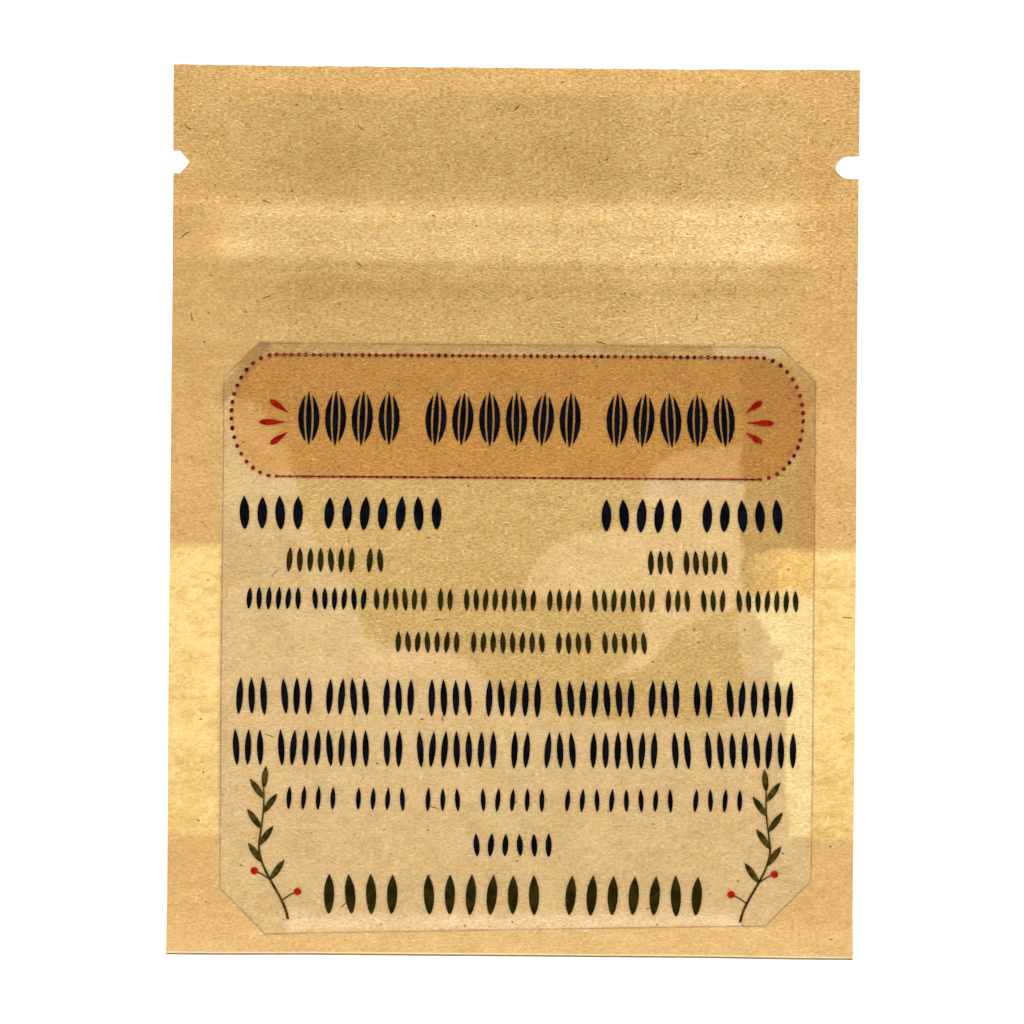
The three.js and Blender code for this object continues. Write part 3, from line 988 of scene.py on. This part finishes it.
class POUCH_OT_powder(bpy.types.Operator):
    """Build the ground anise, pressed between the plies, and the loose grains round it"""

    bl_idname = "pouch.powder"
    bl_label = "Ground anise"

    def execute(self, context):
        form = Form(context.scene.pouch_sizes)

        def lower(x, y):
            crumb = noise.noise(Vector((x / CRUMB_SIZE, y / CRUMB_SIZE, 4.4)))
            return form.underside(x, y) + PLY + POWDER_CLEAR + CRUMB_HEIGHT * (1 + crumb)

        def upper(x, y):
            return max(lower(x, y) + POWDER_LEAST, form.front(x, y) - PLY - POWDER_CLEAR)

        outline = []
        for step in range(POWDER_EDGE_STEPS):
            turn = 2 * math.pi * step / POWDER_EDGE_STEPS
            uneven = 1 + 0.03 * noise.noise(Vector((math.cos(turn) * 2, math.sin(turn) * 2, 9)))
            outline.append(tuple(powder_edge(turn, uneven)))
        xs = [p[0] for p in outline]
        ys = [p[1] for p in outline]
        plan = rectangle(min(xs), max(xs), min(ys), max(ys), POWDER_CELL)
        keep_inside(plan, outline)
        thicken(plan, lower, upper)
        material = powder_material("ground_anise")
        finish_piece(plan, "ground_anise", [material], sharp=60)

        grains = bmesh.new()
        draw = random.Random(12)
        for _ in range(context.scene.pouch_sizes.grains):
            x, y = powder_edge(draw.uniform(0, 2 * math.pi), draw.gauss(1.0, 0.03))
            if abs(x) > SIDE_SEAL_X - 0.5 * MM or y < BOTTOM_SEAL_Y + 0.5 * MM:
                continue
            radius = draw.uniform(0.05, 0.16) * MM
            lift = Matrix.Translation((x, y, form.underside(x, y) + PLY + radius * 0.6))
            shape = Matrix.Diagonal((1, draw.uniform(0.6, 1), 0.6, 1))
            turned = Matrix.Rotation(draw.uniform(0, math.pi), 4, "Z")
            bmesh.ops.create_icosphere(grains, subdivisions=1, radius=radius, matrix=lift @ turned @ shape)
        finish_piece(grains, "loose_grains", [material], sharp=30)
        return {"FINISHED"}


# ---------------------------------------------------------------- the label

# How much less of a corner is cut off, for each unit that the outline is drawn in.
CORNER_INSET = 0.59


def label_outline(inset=0.0):
    """The label's eight corners, anticlockwise, drawn in by an inset."""
    left, right = LABEL_LOW.x + inset, LABEL_HIGH.x - inset
    top, bottom_left = LABEL_HIGH.y - inset, LABEL_LOW.y + inset
    bottom_right = LABEL_BOTTOM_RIGHT + inset
    high_cut, low_cut = (c - CORNER_INSET * inset for c in (LABEL_CORNER_TOP, LABEL_CORNER_BOTTOM))
    return [
        (left + low_cut, bottom_left),
        (right - low_cut, bottom_right),
        (right, bottom_right + low_cut),
        (right, top - high_cut),
        (right - high_cut, top),
        (left + high_cut, top),
        (left, top - high_cut),
        (left, bottom_left + low_cut),
    ]


class POUCH_OT_label(bpy.types.Operator):
    """Build the clear label film with its cut corners and the line along its edge"""

    bl_idname = "pouch.label"
    bl_label = "Label film"

    def execute(self, context):
        sizes = context.scene.pouch_sizes
        form = Form(sizes)
        plan = rectangle(LABEL_LOW.x, LABEL_HIGH.x, LABEL_LOW.y, LABEL_HIGH.y, sizes.print_cell)
        keep_inside(plan, label_outline())
        inner = label_outline(sizes.rim)
        for start, end in sides_of(inner):
            cut_line(plan, list(plan.faces), start, end)
        for face in plan.faces:
            face.material_index = 0 if is_inside(face.calc_center_median().to_2d(), inner) else 1
        drape(plan.verts, form.above_front(FILM_FACE))
        materials = [film_material("label_film", 0.3), rim_material("label_rim")]
        finish_piece(plan, "label_film", materials, ["label"])
        return {"FINISHED"}


# ---------------------------------------------------------------- the print


def print_piece(plan, name, material, diced=True):
    """Turns, bends and thickens a flat plan of print into a piece on the label."""
    sizes = bpy.context.scene.pouch_sizes
    form = Form(sizes)
    bmesh.ops.rotate(plan, verts=plan.verts, cent=(0, 0, 0), matrix=Matrix.Rotation(PRINT_TURN, 3, "Z"))
    if diced:
        dice(plan, sizes.print_cell)
    thicken(plan, form.above_front(INK_BACK), form.above_front(INK_FACE))
    return finish_piece(plan, name, [material])


def placed(x, y, turn=0.0, width=1.0, height=1.0):
    """Where a shape goes, how far it is turned and how large it is."""
    turned = Matrix.Translation((x, y, 0)) @ Matrix.Rotation(turn, 4, "Z")
    return turned @ Matrix.Diagonal((width, height, 1, 1))


def add_disc(plan, matrix, sides):
    return bmesh.ops.create_circle(plan, cap_ends=True, segments=sides, radius=0.5, matrix=matrix)["verts"]


def add_seed(plan, x, y, turn, width, height):
    """An upright oval that narrows to a point at its top, and a little at its bottom."""
    verts = add_disc(plan, Matrix.Identity(4), 16)
    for vert in verts:
        up = vert.co.y * 2
        vert.co.x *= 1 - 0.75 * max(0.0, up) ** 3 - 0.35 * max(0.0, -up) ** 4
    bmesh.ops.transform(plan, matrix=placed(x, y, turn, width, height), verts=verts)


def add_ray(plan, fat, thin, width):
    """A drop between two points, round at its fat end and narrow at its thin one."""
    along = thin - fat
    verts = add_disc(plan, Matrix.Identity(4), 16)
    for vert in verts:
        vert.co.y *= 1 - 0.75 * ease(-0.35, 0.5, vert.co.x)
    turn = math.atan2(along.y, along.x)
    middle = (fat + thin) / 2
    bmesh.ops.transform(plan, matrix=placed(middle.x, middle.y, turn, along.length, width), verts=verts)


def add_ribbon(plan, points, widths):
    """A flat strip through a row of points."""
    edge = None
    for i, point in enumerate(points):
        before, after = points[max(0, i - 1)], points[min(len(points) - 1, i + 1)]
        along = (Vector(after) - Vector(before)).normalized()
        across = Vector((-along.y, along.x)) * widths[i] / 2
        if edge is None:
            ends = [plan.verts.new((Vector(point) + across * way).to_3d()) for way in (-1, 1)]
            edge = plan.edges.new(ends)
            continue
        made = bmesh.ops.extrude_edge_only(plan, edges=[edge])["geom"]
        edge = next(g for g in made if isinstance(g, bmesh.types.BMEdge))
        side = (edge.verts[1].co - edge.verts[0].co).to_2d()
        way = 1 if side.dot(across) > 0 else -1
        edge.verts[0].co = (Vector(point) - across * way).to_3d()
        edge.verts[1].co = (Vector(point) + across * way).to_3d()


BORDER_STEP = 0.1 * MM
BORDER_END_STEPS = 160


def border_path():
    """Close points round the title's border, clockwise from the left end of its top."""
    corner = TITLE_HALF - Vector((TITLE_END, 0))
    points = []
    for side in (1, -1):
        straight = round(2 * corner.x / BORDER_STEP)
        for k in range(straight):
            points.append(TITLE_MIDDLE + Vector((-corner.x + 2 * corner.x * k / straight, corner.y)) * side)
        for k in range(BORDER_END_STEPS):
            turn = math.pi * k / BORDER_END_STEPS
            bulge = Vector((corner.x + TITLE_END * math.sin(turn), corner.y * math.cos(turn)))
            points.append(TITLE_MIDDLE + bulge * side)
    return points


# Fat and thin ends of the rays beside the title marks, in millimetres.
RAYS = [
    ((-24.9, 11.2), (-23.0, 9.9)),
    ((-26.0, 8.95), (-23.3, 8.95)),
    ((-24.85, 6.7), (-23.05, 7.95)),
    ((25.35, 11.4), (23.65, 10.2)),
    ((26.6, 9.15), (23.85, 9.2)),
    ((25.35, 7.15), (23.7, 8.2)),
]


class POUCH_OT_title(bpy.types.Operator):
    """Print the title's dotted border and the rays at its ends"""

    bl_idname = "pouch.title"
    bl_label = "Title border"

    def execute(self, context):
        paints = context.scene.pouch_paints
        draw = random.Random(5)
        faint = ink_material("faint_border_ink", screen(176, 100, 56), screen(150, 58, 40), 3)
        line_red = ink_material("border_line_ink", screen(172, 66, 46), screen(146, 40, 34), 3)
        self.border_line("title_line_top", 1, 0.13 * MM, faint, draw)
        self.border_line("title_line_bottom", -1, 0.2 * MM, line_red, draw)
        dots = bmesh.new()
        self.dot_border(dots, context.scene.pouch_sizes.dot_pitch, draw)
        dot_red = ink_material("border_ink", paints.border_ink, screen(140, 32, 28), 4)
        print_piece(dots, "title_border", dot_red, False)

        rays = bmesh.new()
        for fat, thin in RAYS:
            add_ray(rays, Vector(fat) * MM, Vector(thin) * MM, 0.74 * MM)
        red = ink_material("ray_ink", paints.red_ink, screen(164, 32, 10), 0.8)
        print_piece(rays, "title_rays", red)
        return {"FINISHED"}

    @staticmethod
    def border_line(name, way, width, material, draw):
        """The smear that joins the dots along the top or the bottom."""
        line = bmesh.new()
        reach = Vector((TITLE_HALF.x - TITLE_END, 0))
        middle = TITLE_MIDDLE + Vector((0, TITLE_HALF.y * way))
        steps = 90
        points = [middle + reach * (2 * k / steps - 1) for k in range(steps + 1)]
        add_ribbon(line, points, [width * draw.uniform(0.6, 1.2) for _ in points])
        print_piece(line, name, material, False)

    @staticmethod
    def dot_border(dots, pitch, draw):
        """Dots along the border, closer and smaller on its straight sides, and smallest on the lower one."""
        path = border_path()
        left = 0.0
        for here, after in zip(path, path[1:] + path[:1]):
            left -= (after - here).length
            if left > 0:
                continue
            turn = math.atan2(after.y - here.y, after.x - here.x)
            at_end = ease(24.2 * MM, 25.4 * MM, abs(here.x - TITLE_MIDDLE.x))
            low = (1 - at_end) * ease(8 * MM, 5 * MM, here.y)
            wide = draw.uniform(0.34, 0.44) + 0.06 * at_end - 0.04 * low
            tall = draw.uniform(0.36, 0.46) - 0.16 * low
            add_disc(dots, placed(here.x, here.y, turn + draw.uniform(-0.3, 0.3), wide * MM, tall * MM), 10)
            left = pitch * (0.8 + 0.2 * at_end) * draw.uniform(0.94, 1.06)


# Rows of printed seeds: left, right, middle height, seed height, seed width, pitch, ink, in millimetres.
ROWS = [
    (-28.3, -6.9, -0.3, 3.55, 1.0, 1.78, "dark"),
    (8.6, 27.85, -0.35, 3.55, 1.0, 1.78, "dark"),
    (-23.25, -13.0, -5.05, 2.65, 0.6, 0.98, "green"),
    (13.55, 22.05, -5.1, 2.65, 0.6, 0.98, "green"),
    (-27.3, -14.65, -9.0, 2.4, 0.55, 0.96, "dark"),
    (-14.3, 29.35, -9.0, 2.4, 0.55, 0.96, "green"),
    (-12.05, 13.85, -13.3, 2.3, 0.56, 0.96, "green"),
    (-28.35, 28.95, -18.95, 3.95, 0.68, 1.22, "dark"),
    (-28.7, 29.3, -24.2, 3.95, 0.66, 1.22, "dark"),
    (-23.4, 24.05, -29.35, 2.5, 0.5, 1.5, "dark"),
    (-4.25, 4.6, -34.0, 2.5, 0.62, 1.5, "dark"),
    (-19.6, 20.1, -39.2, 4.3, 1.05, 2.1, "green"),
]


def seed_places(left, right, pitch, draw):
    """Places along a row, in groups of a few with a gap between them."""
    places, x, group = [], left + pitch / 2, draw.randint(3, 7)
    while x < right - pitch / 3:
        places.append(x)
        x += pitch
        group -= 1
        if group == 0 and right - x > 2.5 * pitch:
            x += pitch * 0.75
            group = draw.randint(2, 8)
    stretch = (right - left - pitch) / max(1e-6, places[-1] - places[0])
    return [left + pitch / 2 + (p - places[0]) * stretch for p in places]


class POUCH_OT_rows(bpy.types.Operator):
    """Print the rows of seeds and the large ribbed seeds of the title"""

    bl_idname = "pouch.rows"
    bl_label = "Seed rows"

    def execute(self, context):
        paints = context.scene.pouch_paints
        draw = random.Random(21)
        plans = {"dark": bmesh.new(), "green": bmesh.new()}
        for left, right, middle, tall, wide, pitch, ink in ROWS:
            for x in seed_places(left, right, pitch, draw):
                turn = draw.uniform(-0.09, 0.09)
                height = tall * draw.uniform(0.92, 1.0)
                add_seed(plans[ink], x * MM, middle * MM, turn, wide * MM, height * MM)
        dark = ink_material("dark_ink", paints.dark_ink, screen(14, 15, 24), 1.5)
        green = ink_material("green_ink", paints.green_ink, screen(54, 45, 10), 1.5)
        title = bmesh.new()
        for x in seed_places(-22.3, 22.85, 2.75, random.Random(3)):
            turn = draw.uniform(-0.07, 0.07)
            self.ribbed_seed(title, x * MM, 9.4 * MM, turn, 5.8 * MM * draw.uniform(0.94, 1.0))
        print_piece(title, "title_seeds", dark)
        print_piece(plans["dark"], "seed_rows_dark", dark)
        print_piece(plans["green"], "seed_rows_green", green)
        return {"FINISHED"}

    @staticmethod
    def ribbed_seed(plan, x, y, turn, tall):
        """Three ribs side by side, the outer ones bent round the middle one."""
        for way in (-1, 0, 1):
            first = len(plan.verts)
            add_seed(plan, 0, 0, 0, 0.58 * MM, tall * (1 if way == 0 else 0.86))
            plan.verts.ensure_lookup_table()
            verts = plan.verts[first:]
            for vert in verts:
                share = vert.co.y / (tall / 2)
                vert.co.x += way * 0.8 * MM * (1 - 0.75 * share * share)
            bmesh.ops.transform(plan, matrix=placed(x, y, turn), verts=verts)


class POUCH_OT_sprigs(bpy.types.Operator):
    """Print a leafy sprig with berries in each bottom corner of the label"""

    bl_idname = "pouch.sprigs"
    bl_label = "Sprigs"

    def execute(self, context):
        leaves, berries = bmesh.new(), bmesh.new()
        for side in (-1, 1):
            self.sprig(leaves, berries, side)
        green = ink_material("leaf_ink", screen(46, 38, 4), screen(86, 70, 22), 0.8)
        red = ink_material("berry_ink", screen(168, 14, 12), screen(190, 40, 26), 0.5)
        print_piece(leaves, "sprig_leaves", green)
        print_piece(berries, "sprig_berries", red)
        return {"FINISHED"}

    @staticmethod
    def stem_point(side, share):
        """A point on the stem, from its foot at 0 to its tip at 1."""
        x = 23.1 + 2.9 * ease(0, 0.6, share) + 0.4 * math.sin(share * math.pi * 1.6)
        return Vector((0.38 + side * x, -41.8 + 13.4 * share)) * MM

    def sprig(self, leaves, berries, side):
        steps = 24
        points = [self.stem_point(side, k / steps) for k in range(steps + 1)]
        widths = [(0.26 - 0.12 * k / steps) * MM for k in range(steps + 1)]
        add_ribbon(leaves, points, widths)
        for k, share in enumerate((0.3, 0.43, 0.56, 0.69, 0.81, 0.92, 1.0)):
            way = side if k % 2 else -side
            root = self.stem_point(side, share)
            lean = math.pi / 2 - way * (0.62 if share < 1 else 0.1)
            length = (2.5 if share < 1 else 2.3) * MM
            middle = root + Vector((math.cos(lean), math.sin(lean))) * length / 2
            add_seed(leaves, middle.x, middle.y, lean - math.pi / 2, 0.64 * MM, length)
        for share, way in ((0.14, -side), (0.3, side)):
            root = self.stem_point(side, share)
            at = root + Vector((way * 1.6, 0.9)) * MM
            add_ribbon(leaves, [root, (root + at) / 2 + Vector((0, 0.1 * MM)), at], [0.12 * MM] * 3)
            add_disc(berries, placed(at.x, at.y, 0, 0.78 * MM, 0.74 * MM), 14)


# ---------------------------------------------------------------- the stage

FLOOR_HALF = 1.5

# The point that the picture is centred on.
VIEW_MIDDLE = Vector((-0.12, -0.07, 0.8)) * MM


class POUCH_OT_stage(bpy.types.Operator):
    """Set up the floor, the lights and the camera that looks straight down"""

    bl_idname = "pouch.stage"
    bl_label = "Stage"

    def execute(self, context):
        scene = context.scene
        stage = scene.pouch_stage
        floor = rectangle(-FLOOR_HALF, FLOOR_HALF, -FLOOR_HALF, FLOOR_HALF, 2 * FLOOR_HALF)
        mesh = bpy.data.meshes.new("floor")
        floor.to_mesh(mesh)
        floor.free()
        made = Nodes("floor")
        made.feed(made.shader.inputs["Base Color"], (0.93, 0.93, 0.93, 1))
        made.feed(made.shader.inputs["Emission Color"], (1, 1, 1, 1))
        made.feed(made.shader.inputs["Emission Strength"], stage.floor_glow)
        mesh.materials.append(made.surface(0.9))
        piece = bpy.data.objects.new("floor", mesh)
        scene.collection.objects.link(piece)

        world = bpy.data.worlds.new("studio")
        scene.world = world
        world.use_nodes = True
        background = world.node_tree.nodes["Background"]
        background.inputs["Color"].default_value = (1, 1, 1, 1)
        background.inputs["Strength"].default_value = stage.sky

        self.lamp(scene, "key", (0.25, 0.85, 0.75), 0.5, stage.key)
        self.lamp(scene, "fill", (-0.5, -0.2, 0.9), 0.8, stage.fill)

        camera = bpy.data.cameras.new("camera")
        camera.lens = stage.lens
        camera.sensor_width = 36
        distance = stage.view_width * stage.lens / camera.sensor_width
        holder = bpy.data.objects.new("camera", camera)
        holder.location = VIEW_MIDDLE + Vector((0, 0, distance))
        holder.rotation_euler = (0, 0, stage.roll)
        scene.collection.objects.link(holder)
        scene.camera = holder
        scene.view_settings.view_transform = "Standard"
        return {"FINISHED"}

    @staticmethod
    def lamp(scene, name, place, side, power):
        light = bpy.data.lights.new(name, "AREA")
        light.size = side
        light.energy = power
        holder = bpy.data.objects.new(name, light)
        holder.location = place
        holder.rotation_euler = (-Vector(place)).to_track_quat("-Z", "Y").to_euler()
        scene.collection.objects.link(holder)


class POUCH_PT_panel(bpy.types.Panel):
    """The pouch's steps and settings"""

    bl_idname = "POUCH_PT_panel"
    bl_label = "Kraft spice pouch"
    bl_space_type = "VIEW_3D"
    bl_region_type = "UI"
    bl_category = "Pouch"

    def draw(self, context):
        for operator in STEPS:
            self.layout.operator(operator.bl_idname)
        for name in GROUPS:
            group = getattr(context.scene, name)
            for key in group.__annotations__:
                self.layout.prop(group, key)


STEPS = (
    POUCH_OT_front,
    POUCH_OT_back,
    POUCH_OT_window,
    POUCH_OT_powder,
    POUCH_OT_label,
    POUCH_OT_title,
    POUCH_OT_rows,
    POUCH_OT_sprigs,
    POUCH_OT_stage,
)
GROUPS = {"pouch_sizes": PouchSizes, "pouch_paints": PouchPaints, "pouch_stage": PouchStage}


def register():
    for cls in (*GROUPS.values(), *STEPS, POUCH_PT_panel):
        bpy.utils.register_class(cls)
    for name, cls in GROUPS.items():
        setattr(bpy.types.Scene, name, PointerProperty(type=cls))


def unregister():
    for name in GROUPS:
        delattr(bpy.types.Scene, name)
    for cls in reversed((*GROUPS.values(), *STEPS, POUCH_PT_panel)):
        bpy.utils.unregister_class(cls)


def main():
    register()
    for operator in STEPS:
        group, name = operator.bl_idname.split(".")
        getattr(getattr(bpy.ops, group), name)()


if __name__ == "__main__":
    main()
